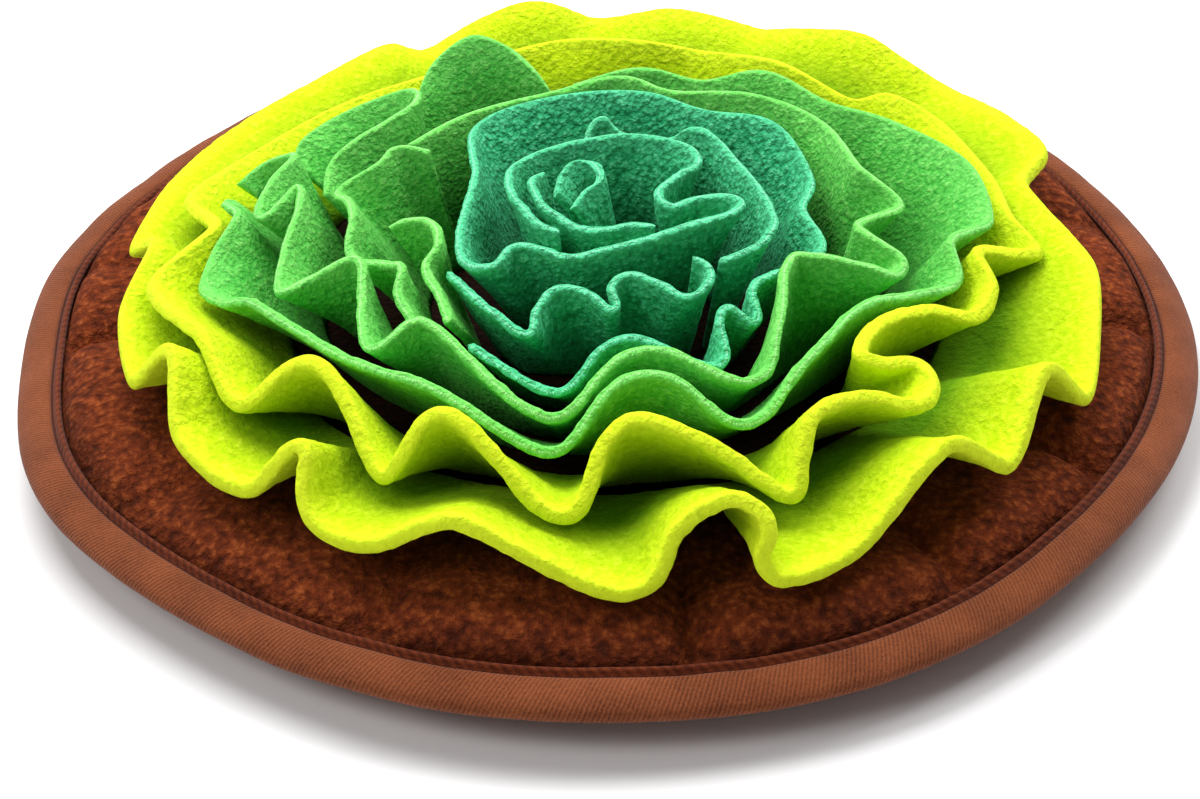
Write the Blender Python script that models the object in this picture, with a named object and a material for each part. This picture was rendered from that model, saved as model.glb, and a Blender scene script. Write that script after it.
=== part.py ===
"""Snuffle mat: a filled round pad, bound at its rim, with rings of gathered fleece sewn to its top.

Sizes and tables are in millimetres and degrees, and meshes in metres. +Z is up, -Y is the front, and the origin
is at the bottom centre. A bearing is counted anticlockwise from +X, seen from above.

Every ruffle is one strip of cloth. Its free edge is a smooth curve through a table with one row for each bend of the
edge. Its sewn edge is that same line with the folds smoothed out, drawn in towards the ruffle's centre and laid on the
pad, so the folds die away from the free edge to the seam.
"""

import math
from collections import namedtuple

import bmesh
import bpy
import numpy as np

MM = 0.001

# The pad. Its rim is a thin lip that stands clear of the floor, because the filling swells behind the seam.
RIM_RADIUS = 145.0
LIP_INSIDE = 139.5
LIP_BOTTOM = 9.6
LIP_TOP = 13.6
LIP_EDGE = 0.6
PAD_FOOT_RADIUS = 112.0
PAD_TOP = 20.3
PAD_SEGMENTS = 60
SWELL_INSIDE = 134.0
SWELL_MIDDLE = 125.0
FOOT_SWELL = 128.0
FLAT_RINGS = (112.0, 98.0, 50.0)

# The binding: a tape folded over the lip.
TAPE_GAP = 0.35
TAPE_THICKNESS = 1.5
TAPE_REACH = 150.0
TAPE_INSIDE = 140.5
TAPE_SHOULDER = 3.0
TAPE_SPREAD = 0.6
TAPE_SEGMENTS = 60

# The rim stands out and up by small bumps, which fade towards the middle of the pad.
BUMP_WIDTH = 11.0
BUMPS_BEGIN = 95.0
BUMPS_FULL = 140.0

# The cloth: how thick each colour is, and the steps of its mesh.
THICK_LIME = 3.2
THICK_GREEN = 2.8
THICK_TEAL = 2.6
SEAM_GAP = 0.3
STEPS_ACROSS = (0.0, 0.38, 0.72, 1.0)
STEP_LENGTH = 6.5
FEWEST_STEPS = 3
MOST_STEPS = 6
FINE_STEPS = 16

# The folds: by how much less they are smoothed for the body of the strip than for its seam, how fast they grow towards
# the free edge, and how many times the face directions are evened out, which keeps tight folds thin.
BODY_SHARE = 0.545
LEAST_BLUR = 3.0
FOLD_GROWTH = 1.35
NORMAL_BLURS = 2

# One bend of a free edge: where it is, how far out, how high, and the length of its tangent, which rounds it.
Bend = namedtuple("Bend", "bearing reach rise round")
# A strip. Its seam lies at a reach that is partly the edge's own, by the share follow, and partly the fixed seat. The
# bow is how far the strip arches up between seam and edge. Folds shorter than the blur are smoothed out of the seam.
Ruffle = namedtuple("Ruffle", "name centre closed thickness seat follow bow blur colour bends")
RimBump = namedtuple("RimBump", "bearing out lift")

BROWN = (0.165, 0.042, 0.012)
TAPE_BROWN = (0.31, 0.095, 0.042)
LIME = (0.60, 0.80, 0.012)
GREEN = (0.060, 0.47, 0.060)
TEAL = (0.014, 0.28, 0.135)

RIM_BUMPS = (
    RimBump(-170, -2.6, 0.0),
    RimBump(-152, 2.2, 0.8),
    RimBump(-128, -1.6, 0.0),
    RimBump(-100, 0.4, 0.6),
    RimBump(-70, 1.2, 0.0),
    RimBump(-40, -0.8, 0.8),
    RimBump(-10, 0.6, 0.0),
    RimBump(30, -0.8, 1.2),
    RimBump(75, 0.6, 0.4),
    RimBump(120, 2.0, 1.0),
    RimBump(150, -1.2, 0.0),
    RimBump(178, 0.4, 0.5),
)

LIME_LOWER = (
    Bend(-180, 119, 35, 12),
    Bend(-176, 112, 41, 12),
    Bend(-165, 120, 36, 24),
    Bend(-153, 123, 33, 14),
    Bend(-148, 116, 45, 14),
    Bend(-140, 124, 34, 20),
    Bend(-130, 123, 31, 18),
    Bend(-124, 116, 44, 14),
    Bend(-118, 125, 30, 44),
    Bend(-105, 122, 40, 24),
    Bend(-89, 127, 27, 30),
    Bend(-83, 121, 39, 14),
    Bend(-79, 120, 44, 12),
    Bend(-76, 123, 44, 8),
    Bend(-75, 127, 40, 8),
    Bend(-76, 129, 34, 8),
    Bend(-74, 131, 29, 10),
    Bend(-66, 128, 30, 20),
    Bend(-54, 123, 43, 18),
    Bend(-46, 127, 31, 16),
    Bend(-36, 122, 42, 16),
    Bend(-30, 128, 28, 16),
    Bend(-21, 125, 32, 20),
    Bend(-9, 122, 36, 22),
    Bend(10, 113, 36, 18),
    Bend(18, 126, 36, 18),
    Bend(29, 127, 35, 22),
    Bend(39, 128, 33, 14),
    Bend(45, 124, 39, 14),
    Bend(51, 121, 44, 16),
    Bend(60, 118, 42, 18),
    Bend(67, 124, 36, 16),
    Bend(78, 120, 42, 24),
    Bend(90, 124, 36, 18),
    Bend(99, 120, 45, 20),
    Bend(108, 125, 37, 18),
    Bend(115, 123, 33, 14),
    Bend(121, 122, 38, 16),
    Bend(133, 122, 34, 26),
    Bend(148, 125, 30, 30),
    Bend(165, 120, 33, 26),
)

LIME_UPPER = (
    Bend(-166, 112, 42, 20),
    Bend(-150, 107, 45, 18),
    Bend(-139, 109, 38, 16),
    Bend(-131, 96, 50, 26),
    Bend(-117, 107, 35, 16),
    Bend(-110, 99, 50, 24),
    Bend(-95, 109, 34, 24),
    Bend(-86, 96, 50, 34),
    Bend(-70, 111, 35, 14),
    Bend(-67, 107, 42, 10),
    Bend(-64, 102, 48, 12),
    Bend(-57, 102, 47, 14),
    Bend(-51, 108, 43, 10),
    Bend(-46, 105, 42, 8),
    Bend(-44, 98, 43, 8),
    Bend(-49, 93, 45, 8),
    Bend(-50, 88, 47, 8),
    Bend(-42, 85, 47, 12),
    Bend(-32, 89, 44, 14),
    Bend(-27, 98, 40, 12),
    Bend(-20, 99, 41, 12),
    Bend(-14, 94, 44, 10),
    Bend(-7, 109, 37, 12),
    Bend(0, 103, 40, 12),
    Bend(11, 104, 39, 18),
    Bend(28, 107, 38, 24),
    Bend(38, 103, 41, 14),
    Bend(43, 96, 39, 12),
    Bend(56, 91, 46, 22),
    Bend(71, 94, 43, 24),
    Bend(84, 90, 47, 20),
    Bend(97, 96, 44, 20),
    Bend(113, 94, 42, 26),
    Bend(134, 102, 37, 30),
    Bend(154, 104, 37, 26),
    Bend(171, 108, 40, 20),
    Bend(183, 96, 45, 14),
)

GREEN_LOWER = (
    Bend(-191, 99, 40, 8),
    Bend(-185, 98, 46, 8),
    Bend(-180, 93, 48, 8),
    Bend(-174, 98, 44, 12),
    Bend(-167, 102, 41, 10),
    Bend(-161, 98, 43, 10),
    Bend(-157, 93, 46, 12),
    Bend(-150, 89, 46, 14),
    Bend(-136, 85, 45, 20),
    Bend(-120, 82, 45, 26),
    Bend(-100, 86, 37, 20),
    Bend(-86, 73, 49, 34),
    Bend(-71, 84, 39, 22),
    Bend(-58, 78, 46, 24),
    Bend(-40, 74, 49, 28),
    Bend(-21, 86, 43, 18),
    Bend(-12, 83, 47, 12),
    Bend(-2, 93, 44, 14),
    Bend(12, 93, 47, 24),
    Bend(28, 85, 48, 26),
    Bend(41, 77, 49, 20),
    Bend(56, 76, 52, 20),
    Bend(69, 71, 48, 16),
    Bend(83, 69, 51, 20),
    Bend(98, 70, 46, 16),
)

GREEN_UPPER = (
    Bend(-197, 103, 40, 8),
    Bend(-200, 98, 44, 10),
    Bend(-200, 91, 48, 8),
    Bend(-197, 86, 51, 8),
    Bend(-189, 88, 50, 12),
    Bend(-180, 88, 48, 12),
    Bend(-186, 79, 52, 12),
    Bend(-170, 82, 47, 16),
    Bend(-159, 86, 46, 8),
    Bend(-158, 78, 49, 10),
    Bend(-156, 67, 53, 10),
    Bend(-147, 71, 49, 14),
    Bend(-136, 79, 46, 12),
    Bend(-131, 68, 51, 14),
    Bend(-102, 79, 42, 20),
    Bend(-87, 65, 51, 28),
    Bend(-68, 74, 45, 20),
    Bend(-58, 66, 50, 18),
    Bend(-43, 53, 54, 18),
    Bend(-34, 55, 53, 10),
    Bend(-28, 66, 50, 10),
    Bend(-26, 72, 48, 6),
    Bend(-22, 72, 49, 6),
    Bend(-20, 66, 51, 8),
    Bend(-15, 59, 52, 10),
    Bend(0, 70, 48, 14),
    Bend(10, 61, 53, 14),
    Bend(36, 66, 51, 26),
    Bend(54, 62, 53, 20),
    Bend(74, 57, 52, 18),
    Bend(88, 60, 54, 18),
    Bend(106, 58, 52, 20),
    Bend(130, 60, 51, 24),
    Bend(148, 63, 49, 12),
)

GREEN_REAR = (
    Bend(-195, 77, 42, 8),
    Bend(-201, 79, 46, 10),
    Bend(-206, 76, 50, 14),
    Bend(-214, 71, 53, 14),
    Bend(-222, 70, 55, 12),
    Bend(-226, 79, 53, 12),
    Bend(-218, 91, 47, 16),
    Bend(-210, 96, 43, 10),
    Bend(-206, 95, 38, 6),
)

GREEN_LEAF = (
    Bend(-228, 80, 41, 8),
    Bend(-231, 83, 49, 8),
    Bend(-236, 85, 55, 10),
    Bend(-243, 83, 60, 10),
    Bend(-249, 77, 57, 8),
    Bend(-253, 70, 52, 8),
    Bend(-256, 66, 46, 6),
)

GREEN_LEFT = (
    Bend(-137, 65, 46, 10),
    Bend(-144, 63, 49, 10),
    Bend(-149, 59, 52, 8),
    Bend(-155, 60, 50, 10),
    Bend(-165, 67, 47, 14),
    Bend(-175, 65, 52, 12),
    Bend(-184, 67, 50, 12),
    Bend(-191, 71, 48, 12),
    Bend(-197, 63, 52, 12),
    Bend(-203, 60, 54, 10),
    Bend(-206, 52, 53, 10),
)

GREEN_INNER = (
    Bend(-133, 58, 44, 8),
    Bend(-142, 54, 46, 12),
    Bend(-152, 52, 48, 10),
    Bend(-157, 47, 51, 10),
    Bend(-167, 46, 52, 8),
    Bend(-172, 51, 51, 10),
    Bend(-174, 56, 48, 8),
)

TEAL_OUTER = (
    Bend(-130, 59, 42, 12),
    Bend(-107, 62, 38, 18),
    Bend(-93, 53, 48, 24),
    Bend(-72, 59, 42, 18),
    Bend(-65, 48, 49, 14),
    Bend(-57, 51, 45, 12),
    Bend(-50, 43, 49, 14),
    Bend(-18, 48, 46, 22),
    Bend(3, 43, 48, 14),
    Bend(22, 50, 47, 14),
    Bend(44, 53, 53, 22),
    Bend(66, 51, 52, 22),
    Bend(86, 54, 54, 22),
    Bend(112, 57, 53, 30),
    Bend(134, 56, 52, 20),
    Bend(160, 41, 53, 20),
    Bend(194, 43, 50, 18),
    Bend(210, 46, 50, 10),
    Bend(219, 42, 51, 8),
    Bend(217, 35, 53, 8),
    Bend(226, 31, 53, 8),
    Bend(238, 29, 52, 8),
    Bend(253, 25, 53, 12),
    Bend(279, 21, 54, 14),
    Bend(310, 21, 55, 12),
    Bend(334, 26, 55, 8),
    Bend(346, 28, 55, 6),
    Bend(354, 24, 55, 6),
    Bend(348, 17, 55, 8),
    Bend(324, 12, 55, 6),
    Bend(345, 7, 56, 6),
    Bend(387, 14, 56, 8),
    Bend(390, 20, 57, 8),
    Bend(412, 24, 57, 12),
    Bend(445, 25, 57, 16),
    Bend(472, 25, 57, 14),
    Bend(496, 27, 57, 12),
    Bend(518, 30, 57, 12),
    Bend(533, 30, 57, 8),
    Bend(546, 29, 57, 8),
    Bend(560, 27, 56, 8),
    Bend(574, 26, 55, 7),
    Bend(585, 24, 54, 6),
)

TEAL_FRONT = (
    Bend(-153, 49, 47, 10),
    Bend(-131, 50, 46, 14),
    Bend(-119, 51, 44, 8),
    Bend(-120, 45, 47, 8),
    Bend(-119, 38, 49, 8),
    Bend(-108, 35, 48, 10),
    Bend(-97, 38, 46, 6),
    Bend(-99, 33, 49, 6),
    Bend(-92, 29, 50, 8),
    Bend(-80, 32, 49, 10),
    Bend(-72, 38, 48, 8),
    Bend(-64, 38, 49, 8),
    Bend(-57, 33, 50, 8),
    Bend(-60, 28, 51, 6),
)

TEAL_RIGHT = (
    Bend(112, 30, 52, 8),
    Bend(102, 33, 58, 10),
    Bend(91, 31, 54, 12),
    Bend(72, 31, 53, 14),
    Bend(57, 31, 58, 10),
    Bend(44, 31, 57, 10),
    Bend(22, 29, 56, 12),
    Bend(4, 31, 55, 12),
    Bend(-14, 35, 54, 12),
    Bend(-28, 37, 53, 12),
    Bend(-39, 35, 51, 12),
    Bend(-49, 31, 49, 10),
)

TEAL_INNER = (
    Bend(154, 23, 55, 8),
    Bend(172, 24, 57, 8),
    Bend(187, 23, 57, 7),
    Bend(201, 22, 56, 6),
    Bend(214, 20, 55, 6),
    Bend(228, 19, 54, 8),
    Bend(246, 17, 54, 8),
    Bend(270, 14, 54, 8),
    Bend(293, 15, 53, 8),
)

TEAL_CORE = (
    Bend(194, 20, 54, 6),
    Bend(178, 16, 56, 6),
    Bend(163, 13, 57, 5),
    Bend(147, 15, 58, 5),
    Bend(142, 19, 58, 5),
    Bend(149, 22, 58, 6),
    Bend(160, 23, 57, 6),
    Bend(171, 23, 56, 6),
    Bend(181, 23, 55, 6),
)

RUFFLES = (
    Ruffle("lime_ruffle_lower", (0, -4), True, THICK_LIME, 83, 0.1, 1.0, 22, LIME, LIME_LOWER),
    Ruffle("lime_ruffle_upper", (0, -5), True, THICK_LIME, 70, 0.3, 0.0, 22, LIME, LIME_UPPER),
    Ruffle("green_ruffle_lower", (3, -10), False, THICK_GREEN, 46, 0.55, 0.5, 22, GREEN, GREEN_LOWER),
    Ruffle("green_ruffle_upper", (4, -12), False, THICK_GREEN, 34, 0.64, 0.5, 22, GREEN, GREEN_UPPER),
    Ruffle("green_ruffle_rear", (4, -12), False, THICK_GREEN, 44, 0.5, 1.0, 22, GREEN, GREEN_REAR),
    Ruffle("green_ruffle_leaf", (4, -12), False, THICK_GREEN, 48, 0.5, 1.0, 22, GREEN, GREEN_LEAF),
    Ruffle("green_ruffle_left", (4, -12), False, THICK_GREEN, 33, 0.5, 0.0, 22, GREEN, GREEN_LEFT),
    Ruffle("green_ruffle_inner", (4, -12), False, THICK_GREEN, 29, 0.5, 0.0, 22, GREEN, GREEN_INNER),
    Ruffle("teal_ruffle_outer", (7, -15), False, THICK_TEAL, 0, 0.75, 0.0, 22, TEAL, TEAL_OUTER),
    Ruffle("teal_ruffle_front", (7, -15), False, THICK_TEAL, 0, 0.75, 0.0, 22, TEAL, TEAL_FRONT),
    Ruffle("teal_ruffle_right", (7, -15), False, THICK_TEAL, 0, 0.76, 0.0, 22, TEAL, TEAL_RIGHT),
    Ruffle("teal_ruffle_inner", (7, -15), False, THICK_TEAL, 0, 0.58, 0.0, 22, TEAL, TEAL_INNER),
    Ruffle("teal_ruffle_core", (12, -17), False, THICK_TEAL, 0, 0.55, 7.0, 4, TEAL, TEAL_CORE),
)


def strip_mesh(name, rows_front, rows_back, closed):
    """Closes two grids of points, the strip's two faces, into one solid."""
    count, across = rows_front.shape[:2]
    points = np.concatenate([rows_front.reshape(-1, 3), rows_back.reshape(-1, 3)]) * MM
    back = count * across
    faces = []
    spans = count if closed else count - 1
    for i in range(spans):
        here = i * across
        there = (i + 1) % count * across
        for j in range(across - 1):
            faces.append((here + j, there + j, there + j + 1, here + j + 1))
            faces.append((back + here + j, back + here + j + 1, back + there + j + 1, back + there + j))
        for j in (0, across - 1):
            faces.append((here + j, back + here + j, back + there + j, there + j))
    if not closed:
        for end in (0, (count - 1) * across):
            for j in range(across - 1):
                faces.append((end + j, end + j + 1, back + end + j + 1, back + end + j))
    return solid(name, points, faces)


def solid(name, points, faces):
    """Makes an object of these points and faces, with its faces pointing out."""
    mesh = bpy.data.meshes.new(name)
    mesh.from_pydata([tuple(p) for p in points], [], faces)
    work = bmesh.new()
    work.from_mesh(mesh)
    bmesh.ops.recalc_face_normals(work, faces=work.faces)
    work.to_mesh(mesh)
    work.free()
    mesh.shade_smooth()
    made = bpy.data.objects.new(name, mesh)
    bpy.context.scene.collection.objects.link(made)
    return made


def cloth_material(name, colour):
    """Plain napped cloth: one colour, fully rough."""
    made = bpy.data.materials.new(name)
    made.use_nodes = True
    shader = made.node_tree.nodes["Principled BSDF"]
    shader.inputs["Base Color"].default_value = (*colour, 1.0)
    shader.inputs["Roughness"].default_value = 0.95
    shader.inputs["Metallic"].default_value = 0.0
    return made


def edge_points(ruffle):
    """Corners of the free edge's curve: one point and one tangent for each bend."""
    rows = np.array(ruffle.bends, dtype=float)
    angle = np.radians(rows[:, 0])
    points = np.stack(
        [
            ruffle.centre[0] + rows[:, 1] * np.cos(angle),
            ruffle.centre[1] + rows[:, 1] * np.sin(angle),
            rows[:, 2],
        ],
        axis=1,
    )
    if ruffle.closed:
        heading = np.roll(points, -1, axis=0) - np.roll(points, 1, axis=0)
    else:
        heading = np.gradient(points, axis=0)
    heading /= np.linalg.norm(heading, axis=1)[:, None]
    return points, heading * rows[:, 3:4]


def hermite(start, end, leave, arrive, t):
    """A cubic from start to end that leaves and arrives along the two tangents."""
    t = t[:, None]
    return (
        start * (2 * t**3 - 3 * t**2 + 1)
        + leave * (t**3 - 2 * t**2 + t)
        + end * (3 * t**2 - 2 * t**3)
        + arrive * (t**3 - t**2)
    )


def free_edge(ruffle):
    """Finely spaced points of the free edge, and which of them become columns of the mesh."""
    points, tangents = edge_points(ruffle)
    count = len(points)
    fine, columns = [], []
    for i in range(count if ruffle.closed else count - 1):
        j = (i + 1) % count
        t = np.linspace(0.0, 1.0, FINE_STEPS, endpoint=False)
        piece = hermite(points[i], points[j], tangents[i], tangents[j], t)
        length = np.linalg.norm(np.diff(piece, axis=0), axis=1).sum()
        steps = min(max(round(length / STEP_LENGTH), FEWEST_STEPS), MOST_STEPS)
        columns += [len(fine) + round(k * FINE_STEPS / steps) for k in range(steps)]
        fine.extend(piece)
    if not ruffle.closed:
        columns.append(len(fine))
        fine.append(points[-1])
    return np.array(fine), columns


def smoothed(line, blur, closed):
    """The line with each point replaced by a bell-weighted mean of its neighbours along the line."""
    step = np.linalg.norm(np.diff(line, axis=0, append=line[:1]), axis=1)
    if not closed:
        step[-1] = step[-2]
    place = np.concatenate([[0.0], np.cumsum(step)[:-1]])
    apart = np.abs(place[:, None] - place[None, :])
    if closed:
        apart = np.minimum(apart, step.sum() - apart)
    else:
        room = np.minimum(place, place[-1] - place)
        blur = np.clip(room, LEAST_BLUR, blur)[:, None]
    weight = np.exp(-0.5 * (apart / blur) ** 2) * step[None, :]
    return weight @ line / weight.sum(axis=1)[:, None]


def ruffle_surface(ruffle):
    """Middle surface of a ruffle, from its sewn edge to its free edge."""
    edge, columns = free_edge(ruffle)
    centre = np.array([*ruffle.centre, 0.0])
    seam = smoothed(edge, ruffle.blur, ruffle.closed) - centre
    reach = np.hypot(seam[:, 0], seam[:, 1])
    seam *= (ruffle.follow + (1 - ruffle.follow) * ruffle.seat / reach)[:, None]
    seam += centre
    seam[:, 2] = PAD_TOP + SEAM_GAP
    body = smoothed(edge, ruffle.blur * BODY_SHARE, ruffle.closed)
    edge, seam, body = edge[columns], seam[columns], body[columns]
    rows = []
    for v in STEPS_ACROSS:
        row = seam + (edge - seam) * v + (edge - body) * (v**FOLD_GROWTH - v)
        row[:, 2] += ruffle.bow * 4 * v * (1 - v)
        rows.append(row)
    return np.stack(rows, axis=1)


def neighbours(values, closed):
    """The values one step before and one step after each column."""
    if closed:
        return np.roll(values, 1, axis=0), np.roll(values, -1, axis=0)
    return np.concatenate([values[:1], values[:-1]]), np.concatenate([values[1:], values[-1:]])


def surface_normals(grid, closed):
    """Unit normals of a grid of points, evened out along the strip."""
    before, after = neighbours(grid, closed)
    normal = np.cross(after - before, np.gradient(grid, axis=1))
    normal /= np.linalg.norm(normal, axis=2)[..., None]
    for _ in range(NORMAL_BLURS):
        before, after = neighbours(normal, closed)
        normal = 0.5 * normal + 0.25 * (before + after)
    return normal / np.linalg.norm(normal, axis=2)[..., None]


def add_ruffle(ruffle):
    """A strip's middle surface, thickened to both sides, with its sewn edge flat on the pad."""
    grid = ruffle_surface(ruffle)
    half = surface_normals(grid, ruffle.closed) * ruffle.thickness / 2
    half[:, 0, 2] = 0.0
    made = strip_mesh(ruffle.name, grid + half, grid - half, ruffle.closed)
    made.data.materials.append(cloth_material(ruffle.name + "_fleece", ruffle.colour))


def rim_offsets(angles):
    """How far the rim stands out and up at these angles, smooth through the rows of RIM_BUMPS."""
    rows = np.array(RIM_BUMPS, dtype=float)
    apart = np.degrees(angles)[:, None] - rows[None, :, 0]
    apart = (apart + 180.0) % 360.0 - 180.0
    weight = np.exp(-0.5 * (apart / BUMP_WIDTH) ** 2)
    return (weight @ rows[:, 1:3]).T


def turned(profile, segments):
    """Turns a profile of (reach, height) around Z. The rim's bumps move all but what lies on the floor."""
    angles = np.linspace(0.0, 2 * math.pi, segments, endpoint=False)
    out, lift = rim_offsets(angles)
    rings = []
    for reach, height in profile:
        share = min(max((reach - BUMPS_BEGIN) / (BUMPS_FULL - BUMPS_BEGIN), 0.0), 1.0)
        radius = reach + out * share
        level = height + lift * share if height > 0.0 else np.full(segments, height)
        rings.append(np.stack([radius * np.cos(angles), radius * np.sin(angles), level], axis=1))
    return np.stack(rings, axis=1) * MM


def ring_faces(count, rings, closed):
    """Faces of a turned grid, around its profile and, if the profile is closed, from its last ring to its first."""
    faces = []
    for i in range(count):
        here, there = i * rings, (i + 1) % count * rings
        for j in range(rings if closed else rings - 1):
            k = (j + 1) % rings
            faces.append((here + j, there + j, there + k, here + k))
    return faces


def add_pad():
    """The filled pad: flat below, crowned at the rim, thin at the lip that the binding covers."""
    profile = [
        (PAD_FOOT_RADIUS, 0.0),
        (FOOT_SWELL, LIP_BOTTOM / 3),
        (LIP_INSIDE, LIP_BOTTOM),
        (RIM_RADIUS, LIP_BOTTOM + LIP_EDGE),
        (RIM_RADIUS, LIP_TOP - LIP_EDGE),
        (LIP_INSIDE, LIP_TOP),
        (SWELL_INSIDE, LIP_TOP + 4.0),
        (SWELL_MIDDLE, PAD_TOP - 0.4),
    ]
    profile += [(reach, PAD_TOP) for reach in FLAT_RINGS]
    grid = turned(profile, PAD_SEGMENTS)
    count, rings = grid.shape[:2]
    points = np.concatenate([grid.reshape(-1, 3), [[0, 0, 0], [0, 0, PAD_TOP * MM]]])
    bottom, top = count * rings, count * rings + 1
    faces = ring_faces(count, rings, False)
    for i in range(count):
        here, there = i * rings, (i + 1) % count * rings
        faces.append((bottom, there, here))
        faces.append((top, here + rings - 1, there + rings - 1))
    made = solid("base_pad", points, faces)
    made.data.materials.append(cloth_material("brown_fleece", BROWN))


def add_binding():
    """The tape folded over the lip: a C-shaped section that opens inwards."""
    low, high = LIP_BOTTOM - TAPE_GAP, LIP_TOP + TAPE_GAP
    fold = RIM_RADIUS + 2 * TAPE_GAP
    shoulder = TAPE_REACH - TAPE_SHOULDER
    profile = [
        (TAPE_INSIDE, low - TAPE_SPREAD),
        (TAPE_INSIDE, low - TAPE_SPREAD - TAPE_THICKNESS),
        (shoulder, low - TAPE_THICKNESS),
        (TAPE_REACH, (low + high) / 2),
        (shoulder, high + TAPE_THICKNESS),
        (TAPE_INSIDE, high + TAPE_SPREAD + TAPE_THICKNESS),
        (TAPE_INSIDE, high + TAPE_SPREAD),
        (fold, high),
        (fold, low),
    ]
    grid = turned(profile, TAPE_SEGMENTS)
    count, rings = grid.shape[:2]
    made = solid("binding", grid.reshape(-1, 3), ring_faces(count, rings, True))
    made.data.materials.append(cloth_material("brown_twill", TAPE_BROWN))


def main():
    for old in list(bpy.data.objects):
        bpy.data.objects.remove(old, do_unlink=True)
    add_pad()
    add_binding()
    for ruffle in RUFFLES:
        add_ruffle(ruffle)


main()
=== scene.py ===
"""Looks of the snuffle mat: a filled round pad, bound at its rim, with rings of gathered fleece sewn to its top.

Sizes are in millimetres and degrees unless a comment says otherwise. Meshes are in metres. +Z is up, -Y is the
front, and the origin is at the bottom centre. A bearing is counted anticlockwise from +X, seen from above.
"""

import logging
import math
from collections.abc import Sequence
from dataclasses import dataclass
from enum import Enum
from typing import NamedTuple

import bpy
import numpy as np
from bpy.types import Material, Node, NodeSocket, NodeTree, Object
from mathutils import Matrix

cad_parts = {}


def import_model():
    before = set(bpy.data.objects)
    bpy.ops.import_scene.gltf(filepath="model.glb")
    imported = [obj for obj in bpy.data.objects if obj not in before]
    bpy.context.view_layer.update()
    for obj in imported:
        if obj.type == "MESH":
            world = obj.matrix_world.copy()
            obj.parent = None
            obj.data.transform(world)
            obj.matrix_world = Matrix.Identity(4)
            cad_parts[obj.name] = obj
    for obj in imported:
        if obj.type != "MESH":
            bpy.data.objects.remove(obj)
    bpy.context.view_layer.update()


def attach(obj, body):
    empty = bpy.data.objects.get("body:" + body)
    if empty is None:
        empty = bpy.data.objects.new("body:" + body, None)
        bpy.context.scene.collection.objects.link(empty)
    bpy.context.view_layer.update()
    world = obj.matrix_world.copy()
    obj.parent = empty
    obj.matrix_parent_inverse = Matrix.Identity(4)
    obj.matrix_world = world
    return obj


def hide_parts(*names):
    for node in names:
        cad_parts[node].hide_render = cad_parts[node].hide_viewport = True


MM = 0.001

LOG = logging.getLogger("snuffle_mat")

# As for the solids: the pad's top, the gap below a sewn edge, and how folds die out towards it.
PAD_TOP = 20.3
SEAM_GAP = 0.3
BODY_SHARE = 0.545
LEAST_BLUR = 3.0
FOLD_GROWTH = 1.35

# How square a cut edge is rounded: 2 is a half circle, and more is squarer.
EDGE_SQUARE = 2.8

# Reach and height of the line of stitches on the tape.
STITCHING = (141.3, 14.4)

SPLINE_STEPS = 24
SEED_STEP = 20


class Slot(Enum):
    """The record's material slots."""

    PAD = "pad_fleece"
    TAPE = "binding_twill"
    LIME = "lime_fleece"
    GREEN = "green_fleece"
    TEAL = "teal_fleece"


class Bend(NamedTuple):
    """One bend of a free edge: where it is, how far out, how high, and the length of its tangent."""

    bearing: float
    reach: float
    rise: float
    round: float


class RimBump(NamedTuple):
    """One place where the rim stands out or up from its circle."""

    bearing: float
    out: float
    lift: float


RIM_BUMPS = tuple(RimBump(*row) for row in (
    (-170, -2.6, 0.0), (-152, 2.2, 0.8), (-128, -1.6, 0.0), (-100, 0.4, 0.6), (-70, 1.2, 0.0), (-40, -0.8, 0.8),
    (-10, 0.6, 0.0), (30, -0.8, 1.2), (75, 0.6, 0.4), (120, 2.0, 1.0), (150, -1.2, 0.0), (178, 0.4, 0.5),
))

# A bump's width in degrees, where it begins and is whole going outwards, and where its lift is whole going up.
BUMP_WIDTH = 11.0
BUMPS_BEGIN = 95.0
BUMPS_FULL = 140.0
LIFT_FULL = 3.0


class Crease(NamedTuple):
    """One radial crease of the filling, pulled in by the stitching: where it is, how wide and how deep."""

    bearing: float
    width: float
    depth: float


CREASES = tuple(Crease(*row) for row in (
    (-172, 1.8, 7.5), (-140, 3.5, 2.6), (-111, 3.0, 3.0), (-82.7, 1.9, 6.5), (-57, 2.2, 6.0), (-35, 2.0, 6.0),
    (-9, 2.0, 6.0), (12, 3.0, 3.2), (38, 3.0, 3.0), (70, 3.0, 3.0), (104, 3.0, 3.0), (140, 3.0, 3.0),
    (174, 2.5, 3.4),
))


def bends(*rows: tuple[float, float, float, float]) -> tuple[Bend, ...]:
    """A free edge from its rows of bearing, reach, rise and round."""
    return tuple(Bend(*row) for row in rows)


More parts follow.
